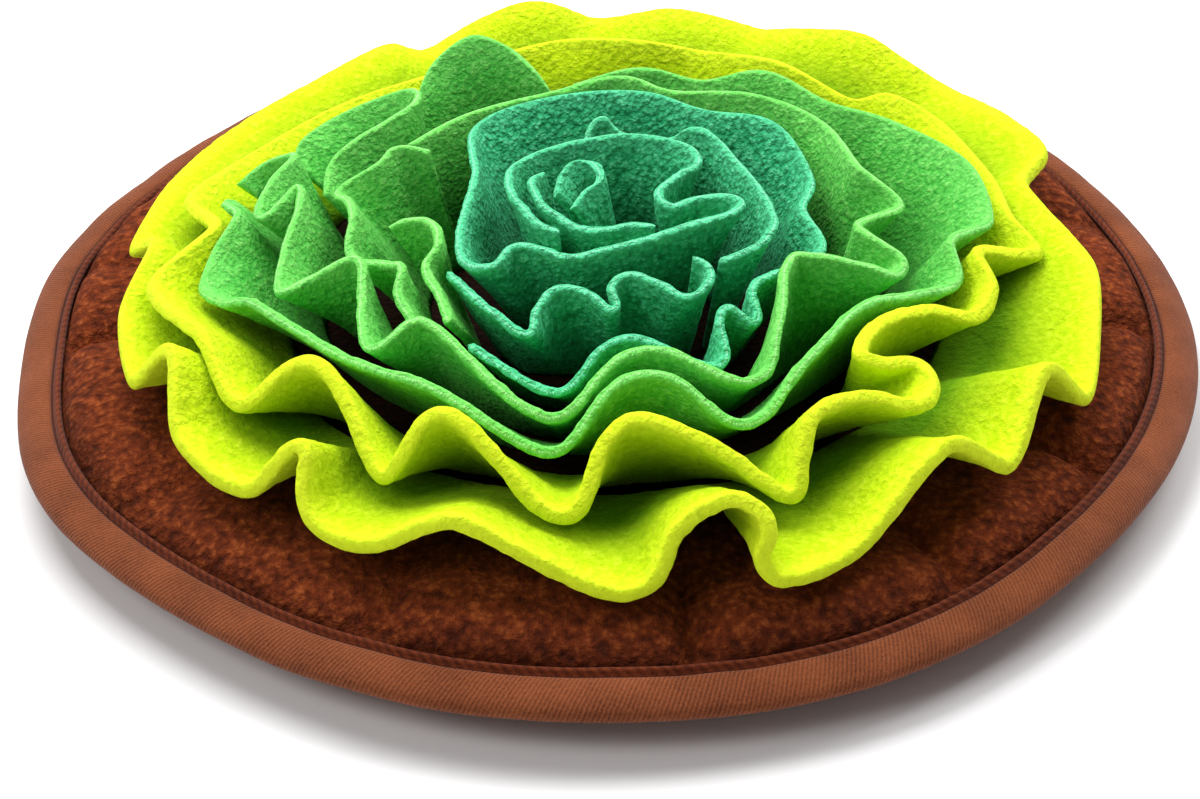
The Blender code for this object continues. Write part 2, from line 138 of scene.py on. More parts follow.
LIME_LOWER = bends(
    (-180, 119, 35, 12), (-176, 112, 41, 12), (-165, 120, 36, 24), (-153, 123, 33, 14), (-148, 116, 45, 14),
    (-140, 124, 34, 20), (-130, 123, 31, 18), (-124, 116, 44, 14), (-118, 125, 30, 44), (-105, 122, 40, 24),
    (-89, 127, 27, 30), (-83, 121, 39, 14), (-79, 120, 44, 12), (-76, 123, 44, 8), (-75, 127, 40, 8),
    (-76, 129, 34, 8), (-74, 131, 29, 10), (-66, 128, 30, 20), (-54, 123, 43, 18), (-46, 127, 31, 16),
    (-36, 122, 42, 16), (-30, 128, 28, 16), (-21, 125, 32, 20), (-9, 122, 36, 22), (10, 113, 36, 18),
    (18, 126, 36, 18), (29, 127, 35, 22), (39, 128, 33, 14), (45, 124, 39, 14), (51, 121, 44, 16),
    (60, 118, 42, 18), (67, 124, 36, 16), (78, 120, 42, 24), (90, 124, 36, 18), (99, 120, 45, 20),
    (108, 125, 37, 18), (115, 123, 33, 14), (121, 122, 38, 16), (133, 122, 34, 26), (148, 125, 30, 30),
    (165, 120, 33, 26),
)

LIME_UPPER = bends(
    (-166, 112, 42, 20), (-150, 107, 45, 18), (-139, 109, 38, 16), (-131, 96, 50, 26), (-117, 107, 35, 16),
    (-110, 99, 50, 24), (-95, 109, 34, 24), (-86, 96, 50, 34), (-70, 111, 35, 14), (-67, 107, 42, 10),
    (-64, 102, 48, 12), (-57, 102, 47, 14), (-51, 108, 43, 10), (-46, 105, 42, 8), (-44, 98, 43, 8),
    (-49, 93, 45, 8), (-50, 88, 47, 8), (-42, 85, 47, 12), (-32, 89, 44, 14), (-27, 98, 40, 12),
    (-20, 99, 41, 12), (-14, 94, 44, 10), (-7, 109, 37, 12), (0, 103, 40, 12), (11, 104, 39, 18),
    (28, 107, 38, 24), (38, 103, 41, 14), (43, 96, 39, 12), (56, 91, 46, 22), (71, 94, 43, 24),
    (84, 90, 47, 20), (97, 96, 44, 20), (113, 94, 42, 26), (134, 102, 37, 30), (154, 104, 37, 26),
    (171, 108, 40, 20), (183, 96, 45, 14),
)

GREEN_LOWER = bends(
    (-191, 99, 40, 8), (-185, 98, 46, 8), (-180, 93, 48, 8), (-174, 98, 44, 12), (-167, 102, 41, 10),
    (-161, 98, 43, 10), (-157, 93, 46, 12), (-150, 89, 46, 14), (-136, 85, 45, 20), (-120, 82, 45, 26),
    (-100, 86, 37, 20), (-86, 73, 49, 34), (-71, 84, 39, 22), (-58, 78, 46, 24), (-40, 74, 49, 28),
    (-21, 86, 43, 18), (-12, 83, 47, 12), (-2, 93, 44, 14), (12, 93, 47, 24), (28, 85, 48, 26),
    (41, 77, 49, 20), (56, 76, 52, 20), (69, 71, 48, 16), (83, 69, 51, 20), (98, 70, 46, 16),
)

GREEN_UPPER = bends(
    (-197, 103, 40, 8), (-200, 98, 44, 10), (-200, 91, 48, 8), (-197, 86, 51, 8), (-189, 88, 50, 12),
    (-180, 88, 48, 12), (-186, 79, 52, 12), (-170, 82, 47, 16), (-159, 86, 46, 8), (-158, 78, 49, 10),
    (-156, 67, 53, 10), (-147, 71, 49, 14), (-136, 79, 46, 12), (-131, 68, 51, 14), (-102, 79, 42, 20),
    (-87, 65, 51, 28), (-68, 74, 45, 20), (-58, 66, 50, 18), (-43, 53, 54, 18), (-34, 55, 53, 10),
    (-28, 66, 50, 10), (-26, 72, 48, 6), (-22, 72, 49, 6), (-20, 66, 51, 8), (-15, 59, 52, 10), (0, 70, 48, 14),
    (10, 61, 53, 14), (36, 66, 51, 26), (54, 62, 53, 20), (74, 57, 52, 18), (88, 60, 54, 18), (106, 58, 52, 20),
    (130, 60, 51, 24), (148, 63, 49, 12),
)

GREEN_REAR = bends(
    (-195, 77, 42, 8), (-201, 79, 46, 10), (-206, 76, 50, 14), (-214, 71, 53, 14), (-222, 70, 55, 12),
    (-226, 79, 53, 12), (-218, 91, 47, 16), (-210, 96, 43, 10), (-206, 95, 38, 6),
)

GREEN_LEAF = bends(
    (-228, 80, 41, 8), (-231, 83, 49, 8), (-236, 85, 55, 10), (-243, 83, 60, 10), (-249, 77, 57, 8),
    (-253, 70, 52, 8), (-256, 66, 46, 6),
)

GREEN_LEFT = bends(
    (-137, 65, 46, 10), (-144, 63, 49, 10), (-149, 59, 52, 8), (-155, 60, 50, 10), (-165, 67, 47, 14),
    (-175, 65, 52, 12), (-184, 67, 50, 12), (-191, 71, 48, 12), (-197, 63, 52, 12), (-203, 60, 54, 10),
    (-206, 52, 53, 10),
)

GREEN_INNER = bends(
    (-133, 58, 44, 8), (-142, 54, 46, 12), (-152, 52, 48, 10), (-157, 47, 51, 10), (-167, 46, 52, 8),
    (-172, 51, 51, 10), (-174, 56, 48, 8),
)

TEAL_OUTER = bends(
    (-130, 59, 42, 12), (-107, 62, 38, 18), (-93, 53, 48, 24), (-72, 59, 42, 18), (-65, 48, 49, 14),
    (-57, 51, 45, 12), (-50, 43, 49, 14), (-18, 48, 46, 22), (3, 43, 48, 14), (22, 50, 47, 14),
    (44, 53, 53, 22), (66, 51, 52, 22), (86, 54, 54, 22), (112, 57, 53, 30), (134, 56, 52, 20),
    (160, 41, 53, 20), (194, 43, 50, 18), (210, 46, 50, 10), (219, 42, 51, 8), (217, 35, 53, 8),
    (226, 31, 53, 8), (238, 29, 52, 8), (253, 25, 53, 12), (279, 21, 54, 14), (310, 21, 55, 12),
    (334, 26, 55, 8), (346, 28, 55, 6), (354, 24, 55, 6), (348, 17, 55, 8), (324, 12, 55, 6), (345, 7, 56, 6),
    (387, 14, 56, 8), (390, 20, 57, 8), (412, 24, 57, 12), (445, 25, 57, 16), (472, 25, 57, 14),
    (496, 27, 57, 12), (518, 30, 57, 12), (533, 30, 57, 8), (546, 29, 57, 8), (560, 27, 56, 8),
    (574, 26, 55, 7), (585, 24, 54, 6),
)

TEAL_FRONT = bends(
    (-153, 49, 47, 10), (-131, 50, 46, 14), (-119, 51, 44, 8), (-120, 45, 47, 8), (-119, 38, 49, 8),
    (-108, 35, 48, 10), (-97, 38, 46, 6), (-99, 33, 49, 6), (-92, 29, 50, 8), (-80, 32, 49, 10),
    (-72, 38, 48, 8), (-64, 38, 49, 8), (-57, 33, 50, 8), (-60, 28, 51, 6),
)

TEAL_RIGHT = bends(
    (112, 30, 52, 8), (102, 33, 58, 10), (91, 31, 54, 12), (72, 31, 53, 14), (57, 31, 58, 10), (44, 31, 57, 10),
    (22, 29, 56, 12), (4, 31, 55, 12), (-14, 35, 54, 12), (-28, 37, 53, 12), (-39, 35, 51, 12),
    (-49, 31, 49, 10),
)

TEAL_INNER = bends(
    (154, 23, 55, 8), (172, 24, 57, 8), (187, 23, 57, 7), (201, 22, 56, 6), (214, 20, 55, 6), (228, 19, 54, 8),
    (246, 17, 54, 8), (270, 14, 54, 8), (293, 15, 53, 8),
)

TEAL_CORE = bends(
    (194, 20, 54, 6), (178, 16, 56, 6), (163, 13, 57, 5), (147, 15, 58, 5), (142, 19, 58, 5), (149, 22, 58, 6),
    (160, 23, 57, 6), (171, 23, 56, 6), (181, 23, 55, 6),
)


# Reach and height along the pad's section: under it, round the lip inside the tape, and over it.
PAD_UNDER = ((60, 0), (112, 0), (122, 1.2), (131, 4.6), (139.5, 9.4))
PAD_LIP = ((145, 10.2), (145.3, 11.6), (144.4, 12.8))
PAD_OVER = ((138.9, 13.2), (137.9, 16.0), (135.6, 18.7), (131.0, 20.6), (124, 21.0), (112, 20.4), (60, 20.2))

# Reach and height around the tape's section: up the outside to the rolled edge, then back along the inside.
TAPE_OUTSIDE = (
    (140.6, 8.0), (143.5, 8.2), (147.2, 8.8), (149.5, 10.3), (150.0, 11.7), (149.3, 13.2), (147.0, 14.6),
    (144.0, 15.4), (142.0, 15.2), STITCHING, (140.7, 15.0), (140.2, 15.8), (139.5, 15.8), (139.0, 14.9),
)
TAPE_INSIDE = (
    (139.4, 14.0), (141.5, 13.9), (144.6, 13.4), (145.9, 11.6), (145.4, 9.9), (143.0, 9.3), (140.6, 8.9),
)


class Layer(NamedTuple):
    """One layer of unevenness: how far it stands out, how wide its lumps are, and what it adds to the seed."""

    height: float
    size: float
    seed: int


RUFFLE_TUFTS = (Layer(0.14, 3.0, 0), Layer(0.12, 1.5, 1))
RUFFLE_WAVES = (Layer(0.5, 16.0, 3), Layer(0.25, 7.0, 5))
TAPE_WAVES = (Layer(0.5, 17.0, 0), Layer(0.25, 7.0, 1))
PAD_PUFFS = (Layer(1.8, 28.0, 0), Layer(0.7, 12.0, 1), Layer(0.3, 4.5, 2), Layer(0.22, 2.4, 4))


def linear(colour: str) -> tuple[float, float, float, float]:
    """Turns an sRGB hex colour into the linear values that shaders take.

    Args:
        colour: six hex digits after a hash sign.

    Returns:
        Red, green, blue and an alpha of one.
    """
    parts = np.array([int(colour[k : k + 2], 16) / 255 for k in (1, 3, 5)])
    flat = np.where(parts <= 0.04045, parts / 12.92, ((parts + 0.055) / 1.055) ** 2.4)
    return (float(flat[0]), float(flat[1]), float(flat[2]), 1.0)


def set_up(tree: NodeTree, node: Node, settings: dict, links: dict) -> Node:
    """Sets up a node and links what feeds it.

    Args:
        tree: the material's node tree.
        node: which node.
        settings: values of its properties or, where the name is one of its sockets, of that socket.
        links: an output socket for each input, named by the input's name or its place.

    Returns:
        The node.
    """
    for name, value in settings.items():
        if isinstance(name, int) or name in node.inputs:
            node.inputs[name].default_value = value
        else:
            setattr(node, name, value)
    for name, source in links.items():
        tree.links.new(source, node.inputs[name])
    return node


def add_node(tree: NodeTree, kind: str, settings: dict | None = None, links: dict | None = None) -> Node:
    """Adds a node of this kind, which is its type name without its "ShaderNode", and sets it up."""
    return set_up(tree, tree.nodes.new(f"ShaderNode{kind}"), settings or {}, links or {})


def math_node(tree: NodeTree, operation: str, settings: dict, links: dict) -> NodeSocket:
    """The result of a math node that is set up and linked as by add_node."""
    return add_node(tree, "Math", {"operation": operation, **settings}, links).outputs[0]


def noise(tree: NodeTree, where: NodeSocket, scale: float, **settings: float) -> NodeSocket:
    """The value of a noise node at this place, with about this many lumps to a metre."""
    return add_node(tree, "TexNoise", {"Scale": scale, **settings}, {"Vector": where}).outputs["Fac"]


def spread(
    tree: NodeTree, value: NodeSocket, span: tuple[float, float], low: float = 0.0, high: float = 1.0
) -> NodeSocket:
    """Maps a value from this span to low..high, and keeps it level beyond the span's ends."""
    ends = {"From Min": span[0], "From Max": span[1], "To Min": low, "To Max": high}
    return add_node(tree, "MapRange", ends, {"Value": value}).outputs[0]


def tinted(tree: NodeTree, colour: NodeSocket, share: NodeSocket, tint: str, blend: str = "MIX") -> NodeSocket:
    """Blends a hex tint into a colour, by a share from 0 to 1."""
    settings = {"data_type": "RGBA", "blend_type": blend, 7: linear(tint)}
    return add_node(tree, "Mix", settings, {0: share, 6: colour}).outputs[2]


def banded(tree: NodeTree, shade: NodeSocket, span: tuple[float, float], colours: Sequence[str]) -> NodeSocket:
    """Turns a shade into a colour, by a ramp of evenly spaced hex colours.

    Args:
        tree: the material's node tree.
        shade: what picks the colour.
        span: the shades of the first and the last colour.
        colours: the ramp's colours, from the lowest shade up.

    Returns:
        The colour.
    """
    ramp = add_node(tree, "ValToRGB", {}, {"Fac": spread(tree, shade, span)})
    bands = ramp.color_ramp.elements
    bands[0].color = linear(colours[0])
    bands[1].color = linear(colours[-1])
    for place, colour in enumerate(colours[1:-1], 1):
        bands.new(place / (len(colours) - 1)).color = linear(colour)
    return ramp.outputs["Color"]


def lumps(points: np.ndarray, size: float, seed: int) -> np.ndarray:
    """Smooth noise from -1 to 1: a hashed value at each corner of a cubic grid, joined by smoothstep.

    Args:
        points: places, in the last axis, in the unit of size.
        size: side of one cube of the grid.
        seed: picks the pattern.

    Returns:
        One value for each point.
    """
    place = points / size
    base = np.floor(place)
    part = place - base
    part = part * part * (3 - 2 * part)
    base = base.astype(np.int64)
    total = np.zeros(points.shape[:-1])
    for corner in np.ndindex(2, 2, 2):
        cell = base + np.array(corner)
        mixed = cell[..., 0] * 73856093 ^ cell[..., 1] * 19349663 ^ cell[..., 2] * 83492791 ^ seed * 2654435761
        mixed = (mixed ^ (mixed >> 13)) * 1274126177 & 0x7FFFFFFF
        mixed = (mixed ^ (mixed >> 16)) & 0xFFFF
        weight = np.prod(np.where(np.array(corner) == 1, part, 1 - part), axis=-1)
        total += weight * (mixed / 32767.5 - 1)
    return total


def layered(points: np.ndarray, layers: Sequence[Layer], seed: int) -> np.ndarray:
    """Adds up layers of lumps.

    Args:
        points: places, in the last axis.
        layers: the layers, in the order in which they are added.
        seed: picks the pattern.

    Returns:
        One height for each point.
    """
    total = np.zeros(points.shape[:-1])
    for layer in layers:
        total += layer.height * lumps(points, layer.size, seed + layer.seed)
    return total


def rise(values: np.ndarray, start: float, length: float) -> np.ndarray:
    """From 0 at the start to 1 after this length, and level on either side."""
    return np.clip((values - start) / length, 0.0, 1.0)


def way_along(line: np.ndarray) -> np.ndarray:
    """How far each point of a line lies from its first, along the line."""
    return np.concatenate([[0.0], np.cumsum(np.linalg.norm(np.diff(line, axis=0), axis=1))])


def mesh_piece(name: str, points: np.ndarray, quads: np.ndarray, uv: np.ndarray | None = None) -> Object:
    """Makes a piece of points and four-cornered faces; a face with a repeated corner becomes a triangle.

    Args:
        name: name of the object.
        points: places in millimetres.
        quads: four point numbers for each face.
        uv: a place on the cloth for each corner of each face, or None.

    Returns:
        The object, linked to the scene.
    """
    doubled = quads[:, 0] == quads[:, 3]
    kept = ~doubled
    faces = quads[kept].tolist() + quads[doubled][:, :3].tolist()
    mesh = bpy.data.meshes.new(name)
    mesh.from_pydata((points * MM).tolist(), [], faces)
    if uv is not None:
        layer = mesh.uv_layers.new(name="cloth")
        flat = np.concatenate([uv[kept].reshape(-1, 2), uv[doubled][:, :3].reshape(-1, 2)])
        layer.data.foreach_set("uv", flat.astype(np.float32).ravel())
    mesh.shade_smooth()
    piece = bpy.data.objects.new(name, mesh)
    bpy.context.scene.collection.objects.link(piece)
    return piece


def grid_quads(rows: int, columns: int, wrap_rows: bool, wrap_columns: bool) -> tuple[np.ndarray, np.ndarray]:
    """Faces of a grid of points, wrapped around in either direction.

    Args:
        rows: how many rows of points.
        columns: how many points in a row.
        wrap_rows: whether the last row joins the first.
        wrap_columns: whether the last point of a row joins its first.

    Returns:
        Row numbers and column numbers of the four corners of each face, not yet wrapped.
    """
    row, column = np.arange(rows - (not wrap_rows)), np.arange(columns - (not wrap_columns))
    i, j = (numbers.ravel()[:, None] for numbers in np.meshgrid(row, column, indexing="ij"))
    return i + np.array([[0, 1, 1, 0]]), j + np.array([[0, 0, 1, 1]])


@dataclass(frozen=True)
class Fleece:
    """Anti-pill polyester fleece, brushed and tumbled: a matt nap in small curls, painted lighter on their tops
    and darker in the creases between them, as painted light and shade.

    The curls are 1 to 2 mm across. The fibres, which are far thinner, are drawn 0.4 mm wide so that they show.
    The nap has a painted highlight near a cut edge and painted shade down in the folds; on the pad it has painted
    shade under the ruffles and in the groove along the stitching.
    """

    name: str
    deep: str
    middle: str
    light: str
    # The folds tint is the colour of painted shade: down in a ruffle's folds, and on the pad under the ruffles
    # and in the groove.
    folds: str
    clump: float = 1.3
    curl: float = 0.5
    stray_size: float = 0.8
    stray_reach: float = 0.9
    fibre: float = 0.4
    fibre_share: float = 0.22
    patch: float = 0.15
    patch_size: float = 9.0
    contrast: tuple[float, float] = (0.4, 1.0)
    relief: float = 0.6
    relief_height: float = 1.6
    sheen: float = 0.3
    glow: float = 0.1
    glow_reach: float = 1.2
    # The share, start and reach of the painted highlight near a cut edge.
    edge: float = 0.3
    edge_highlight_from: float = 0.8
    edge_highlight_reach: float = 6.0
    # Where and how strongly painted shade darkens the cloth down in the folds.
    fold_shade_span: tuple[float, float] = (4.0, 26.0)
    fold_shade_share: float = 0.95
    knit: str | None = None
    knit_width: tuple[float, float] = (0.1, 0.34)
    knit_dots: tuple[float, float] = (0.15, 0.9)
    # On the pad: the reaches of the painted shade under the ruffles and along the stitching's groove, and its
    # share in the groove.
    ruffle_shade_reach: tuple[float, float] | None = None
    groove_shade_reach: tuple[float, float] = (0.0, 0.0)
    groove: float = 0.45

    def make(self) -> Material:
        """Builds the shader: the nap drives the bump and the colour, as painted light and shade, and the place on
        the cloth adds painted shade and a painted highlight.
        """
        material = bpy.data.materials.new(self.name)
        material.use_nodes = True
        tree = material.node_tree
        where = add_node(tree, "TexCoord").outputs["Object"]
        nap = self.nap(tree, where)
        # The nap's height sets the colour as well as the bump: painted shade in the creases between curls and
        # painted light on their tops; the patches add uneven tone.
        patches = noise(tree, where, 1 / (self.patch_size * MM), Detail=1.0)
        shade = math_node(tree, "MULTIPLY_ADD", {1: self.patch}, {0: patches, 2: nap})
        colour = banded(tree, shade, self.contrast, (self.deep, self.middle, self.light))
        if self.ruffle_shade_reach:
            colour = tinted(tree, colour, self.painted_pad_shade(tree, where), self.folds, "MULTIPLY")
        else:
            colour = self.on_cloth(tree, colour)
        relief = {"Strength": self.relief, "Distance": self.relief_height * MM}
        bump = add_node(tree, "Bump", relief, {"Height": nap}).outputs["Normal"]
        settings = {
            "Roughness": 0.95, "Specular IOR Level": 0.15,
            "Sheen Weight": self.sheen, "Sheen Roughness": 0.5, "Sheen Tint": linear(self.light),
            "Subsurface Weight": self.glow, "Subsurface Radius": (1.0, 1.0, 0.4),
            "Subsurface Scale": self.glow_reach * MM,
        }
        set_up(tree, tree.nodes["Principled BSDF"], settings, {"Base Color": colour, "Normal": bump})
        return material

    def nap(self, tree: NodeTree, where: NodeSocket) -> NodeSocket:
        """Height of the nap: round curls with creases between them, uneven clumps and fine fibres.

        Args:
            tree: the material's node tree.
            where: the place on the object, in metres.

        Returns:
            A value that is mostly between 0.4 and 0.9.
        """
        fibres = noise(tree, where, 1 / (self.fibre * MM), Detail=1.0)
        clumps = noise(tree, where, 0.7 / (self.clump * MM), Detail=3.0, Distortion=0.25)
        stray_scale = {"Scale": 1 / (self.stray_size * self.clump * MM)}
        stray = add_node(tree, "TexNoise", stray_scale, {"Vector": where}).outputs["Color"]
        by_stray = {"operation": "MULTIPLY_ADD", 1: (self.stray_reach * self.clump * MM,) * 3}
        moved = add_node(tree, "VectorMath", by_stray, {0: stray, 2: where}).outputs[0]
        cells = {"feature": "SMOOTH_F1", "Scale": 1 / (self.clump * MM), "Smoothness": 0.35}
        creases = add_node(tree, "TexVoronoi", cells, {"Vector": moved}).outputs["Distance"]
        curls = math_node(tree, "MULTIPLY_ADD", {1: -self.curl, 2: self.curl * 0.5}, {0: creases})
        both = math_node(tree, "ADD", {}, {0: curls, 1: clumps})
        return math_node(tree, "MULTIPLY_ADD", {1: self.fibre_share}, {0: fibres, 2: both})

    def painted_pad_shade(self, tree: NodeTree, where: NodeSocket) -> NodeSocket:
        """How much painted shade a place on the pad gets: under the ruffles, and in the groove along the
        stitching.

        Args:
            tree: the material's node tree.
            where: the place on the object, in metres.

        Returns:
            A share from 0 to 1.
        """
        level = {"operation": "MULTIPLY", 1: (1.0, 1.0, 0.0)}
        flat = add_node(tree, "VectorMath", level, {0: where}).outputs[0]
        reach = add_node(tree, "VectorMath", {"operation": "LENGTH"}, {0: flat}).outputs["Value"]
        (inner, outer), (clear, sewn) = self.ruffle_shade_reach, self.groove_shade_reach
        # Painted shade under the ruffles, and in the groove along the stitching.
        ruffle_shade = spread(tree, reach, (inner * MM, outer * MM), 1.0, 0.0)
        groove = spread(tree, reach, (clear * MM, sewn * MM), 0.0, self.groove)
        return math_node(tree, "MAXIMUM", {}, {0: ruffle_shade, 1: groove})

    def on_cloth(self, tree: NodeTree, colour: NodeSocket) -> NodeSocket:
        """Tints a ruffle by the way to its cut edge: painted shade far from it, down in the folds, a painted
        highlight near it, and the knit's line on it.

        Args:
            tree: the material's node tree.
            colour: the nap's colour.

        Returns:
            The tinted colour.
        """
        cloth = add_node(tree, "UVMap", {"uv_map": "cloth"}).outputs["UV"]
        across = add_node(tree, "SeparateXYZ", {}, {0: cloth}).outputs[1]
        off = math_node(tree, "ABSOLUTE", {}, {0: across})
        # Painted shade: darker further from the cut edge, down in the folds.
        into = spread(tree, off, self.fold_shade_span, high=self.fold_shade_share)
        colour = tinted(tree, colour, into, self.folds, "MULTIPLY")
        # Painted highlight: paler near the cut edge.
        near = spread(tree, off, (self.edge_highlight_from, self.edge_highlight_reach), self.edge, 0.0)
        colour = tinted(tree, colour, near, self.light)
        if not self.knit:
            return colour
        line = spread(tree, off, self.knit_width, 1.0, 0.0)
        loops = {"Scale": 0.42, "Distortion": 1.6, "Detail Scale": 3.0}
        dots = add_node(tree, "TexWave", loops, {"Vector": cloth}).outputs["Fac"]
        share = math_node(tree, "MULTIPLY", {}, {0: line, 1: spread(tree, dots, (0.0, 1.0), *self.knit_dots)})
        return tinted(tree, colour, share, self.knit)


class Stripes(NamedTuple):
    """Slanting stripes of a woven tape: how far apart they are, how far they lean, and how uneven they are."""

    pitch: float
    slant: float
    stray: float


@dataclass(frozen=True)
class Twill:
    """Cotton twill tape, woven: fine diagonal ribs across the tape, dull, with painted light on their tops and
    painted shade between them.

    The ribs are 0.9 mm apart, as counted along the rim. Inside the stitching the tape's edge is rolled into a
    thin dark cord, whose turns are 2 mm apart.
    """

    name: str
    deep: str
    light: str
    cord: str
    thread: str
    ribs: Stripes = Stripes(0.9, 24.0, 1.2)
    turns: Stripes = Stripes(2.0, -40.0, 0.8)
    cord_span: tuple[float, float] = (-0.1, 0.3)
    thread_span: tuple[float, float] = (0.15, 0.5)
    thread_share: float = 0.85
    lint: float = 0.5
    patch_size: float = 12.0
    patch: float = 0.7
    rib_share: float = 0.42
    contrast: tuple[float, float] = (0.55, 1.55)
    relief: float = 0.5
    relief_height: float = 0.5

    def stripes(self, tree: NodeTree, cloth: NodeSocket, stripes: Stripes) -> NodeSocket:
        """Slanting stripes on the tape's own UV.

        Args:
            tree: the material's node tree.
            cloth: the place on the tape, in millimetres.
            stripes: which stripes.

        Returns:
            Their height, from 0 to 1.
        """
        turn = (0.0, 0.0, math.radians(stripes.slant))
        leant = add_node(tree, "Mapping", {"Rotation": turn}, {"Vector": cloth}).outputs[0]
        settings = {"Scale": math.pi / (10 * stripes.pitch), "Distortion": stripes.stray, "Detail Scale": 1.5}
        return add_node(tree, "TexWave", settings, {"Vector": leant}).outputs["Fac"]

    def make(self) -> Material:
        """Builds the shader: ribs and cord from the tape's own UV, whose second value is 0 at the stitching."""
        material = bpy.data.materials.new(self.name)
        material.use_nodes = True
        tree = material.node_tree
        cloth = add_node(tree, "UVMap", {"uv_map": "cloth"}).outputs["UV"]
        across = add_node(tree, "SeparateXYZ", {}, {0: cloth}).outputs[1]
        inside = spread(tree, across, self.cord_span)
        ribs, turns = self.stripes(tree, cloth, self.ribs), self.stripes(tree, cloth, self.turns)
        height = add_node(tree, "Mix", {}, {0: inside, 2: ribs, 3: turns}).outputs[0]
        where = add_node(tree, "TexCoord").outputs["Object"]
        lint = noise(tree, where, 1 / (self.lint * MM), Detail=3.0)
        fade = noise(tree, where, 1 / (self.patch_size * MM), Detail=2.0)
        # The weave's height sets the colour as well as the bump: painted light on the ribs' tops and painted
        # shade between them; fade adds uneven tone.
        woven = math_node(tree, "MULTIPLY_ADD", {1: self.rib_share}, {0: height, 2: lint})
        shade = math_node(tree, "MULTIPLY_ADD", {1: self.patch}, {0: fade, 2: woven})
        colour = banded(tree, shade, self.contrast, (self.deep, self.light))
        colour = tinted(tree, colour, inside, self.cord, "MULTIPLY")
        off = math_node(tree, "ABSOLUTE", {}, {0: across})
        sewn = spread(tree, off, self.thread_span, self.thread_share, 0.0)
        colour = tinted(tree, colour, sewn, self.thread, "MULTIPLY")
        relief = {"Strength": self.relief, "Distance": self.relief_height * MM}
        bump = add_node(tree, "Bump", relief, {"Height": woven}).outputs["Normal"]
        settings = {"Roughness": 0.85, "Specular IOR Level": 0.15, "Sheen Weight": 0.1}
        set_up(tree, tree.nodes["Principled BSDF"], settings, {"Base Color": colour, "Normal": bump})
        return material


# Each fleece's folds tint is painted shade down in its folds, and its edge share is a painted highlight near a
# cut edge.
LIME_FLEECE = Fleece(
    "lime_polyester_fleece", "#B4D600", "#CCE60C", "#E6F832", folds="#5E9636", clump=1.2, curl=0.25, relief=0.6,
    glow=0.25, edge=0.6, edge_highlight_reach=7.0,
)
GREEN_FLEECE = Fleece(
    "green_polyester_fleece", "#3EB23E", "#60CE54", "#94EC78", folds="#468A48", clump=1.1, curl=0.35, relief=0.65,
    edge=0.35, edge_highlight_reach=8.0, knit="#B4F4A0",
)
TEAL_FLEECE = Fleece(
    "teal_polyester_fleece", "#1A8E58", "#3AC080", "#72EAB0", folds="#427E6A", clump=1.3, curl=0.55, relief=0.95,
    edge=0.4, knit="#A0F0C8",
)
# The pad's folds tint is painted shade under the ruffles and in the groove along the stitching.
BROWN_FLEECE = Fleece(
    "brown_polyester_fleece", "#461A08", "#722F12", "#A05024", folds="#38302C", clump=1.8, curl=0.4, relief=1.0,
    sheen=0.15, glow=0.0, patch=0.1, ruffle_shade_reach=(88.0, 122.0), groove_shade_reach=(133.0, 139.0),
)
BROWN_TWILL = Twill("brown_cotton_twill", "#4E2009", "#94502C", cord="#D8B8A0", thread="#5A3020")


class Cloth(NamedTuple):
    """A ruffle's cloth: the thickness of its solid, its finish and slot, and the share of the thickness drawn."""

    thickness: float
    finish: Fleece
    slot: Slot
    slim: float


LIME = Cloth(3.2, LIME_FLEECE, Slot.LIME, 1.0)
GREEN = Cloth(2.8, GREEN_FLEECE, Slot.GREEN, 0.78)
TEAL = Cloth(2.6, TEAL_FLEECE, Slot.TEAL, 0.78)


def neighbours(values: np.ndarray, closed: bool) -> tuple[np.ndarray, np.ndarray]:
    """The values one step before and one step after each column, around a ring where the strip is closed."""
    if closed:
        return np.roll(values, 1, axis=0), np.roll(values, -1, axis=0)
    return np.concatenate([values[:1], values[:-1]]), np.concatenate([values[1:], values[-1:]])


def smoothed(line: np.ndarray, blur: float, closed: bool) -> np.ndarray:
    """Each point replaced by a bell-weighted mean of its neighbours along the line.

    Args:
        line: points of the line.
        blur: width of the bell, which is narrower near an open end.
        closed: whether the line is a ring.

    Returns:
        The smoothed points.
    """
    step = np.linalg.norm(np.diff(line, axis=0, append=line[:1]), axis=1)
    if not closed:
        step[-1] = step[-2]
    place = np.concatenate([[0.0], np.cumsum(step)[:-1]])
    apart = np.abs(place[:, None] - place[None, :])
    width = np.full(len(line), blur)
    if closed:
        apart = np.minimum(apart, step.sum() - apart)
    else:
        width = np.clip(np.minimum(place, place[-1] - place), LEAST_BLUR, blur)
    weight = np.exp(-0.5 * (apart / width[:, None]) ** 2) * step[None, :]
    return weight @ line / weight.sum(axis=1)[:, None]


